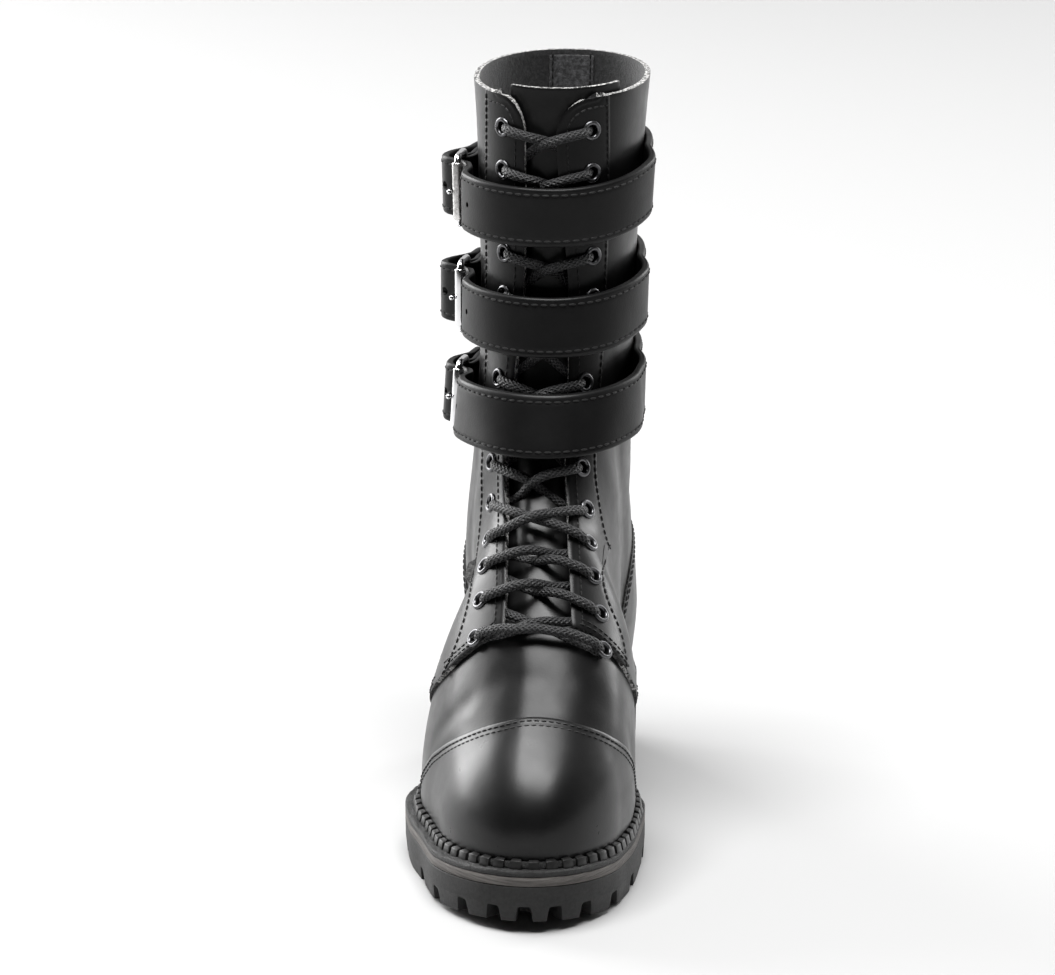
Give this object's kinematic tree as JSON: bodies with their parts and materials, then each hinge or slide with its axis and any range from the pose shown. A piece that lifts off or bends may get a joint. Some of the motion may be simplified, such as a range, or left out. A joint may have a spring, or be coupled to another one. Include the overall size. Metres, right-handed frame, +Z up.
{
  "type": "buckle boot",
  "caption": "Tall lace-up leather boot for a right foot, with a toe cap, a ribbed welt, a lugged rubber sole and buckled straps round its shaft.",
  "frame": {"origin": "on the floor under the middle of the boot's box", "axes": "+Z up the shaft, -Y towards the toe, +X towards the inner side of the foot"},
  "size_m": [0.112, 0.305, 0.349],
  "materials": {
    "leather": "smooth black, semi-gloss",
    "lining": "dark rough suede",
    "rubber": "matte black",
    "midsole": "grey-brown fibrous edge",
    "lace": "round black braid",
    "eyelet": "dark gunmetal",
    "buckle": "bright chrome"
  },
  "bodies": {
    "root": {"outsole": "rubber", "midsole": "midsole", "welt": "rubber", "insole": "lining", "upper": "leather", "tongue": "leather", "lace": "lace", "eyelet_lateral_1": "eyelet", "eyelet_lateral_2": "eyelet", "eyelet_lateral_3": "eyelet", "eyelet_lateral_4": "eyelet", "eyelet_lateral_5": "eyelet", "eyelet_lateral_6": "eyelet", "eyelet_lateral_7": "eyelet", "eyelet_lateral_8": "eyelet", "eyelet_lateral_9": "eyelet", "eyelet_lateral_10": "eyelet", "eyelet_lateral_11": "eyelet", "eyelet_lateral_12": "eyelet", "eyelet_lateral_13": "eyelet", "eyelet_lateral_14": "eyelet", "eyelet_medial_1": "eyelet", "eyelet_medial_2": "eyelet", "eyelet_medial_3": "eyelet", "eyelet_medial_4": "eyelet", "eyelet_medial_5": "eyelet", "eyelet_medial_6": "eyelet", "eyelet_medial_7": "eyelet", "eyelet_medial_8": "eyelet", "eyelet_medial_9": "eyelet", "eyelet_medial_10": "eyelet", "eyelet_medial_11": "eyelet", "eyelet_medial_12": "eyelet", "eyelet_medial_13": "eyelet", "eyelet_medial_14": "eyelet", "strap_top": "leather", "chape_top": "leather", "buckle_frame_top": "buckle", "buckle_roller_top": "buckle", "buckle_prong_top": "buckle", "strap_middle": "leather", "chape_middle": "leather", "buckle_frame_middle": "buckle", "buckle_roller_middle": "buckle", "buckle_prong_middle": "buckle", "strap_bottom": "leather", "chape_bottom": "leather", "buckle_frame_bottom": "buckle", "buckle_roller_bottom": "buckle", "buckle_prong_bottom": "buckle"}
  },
  "joints": []
}
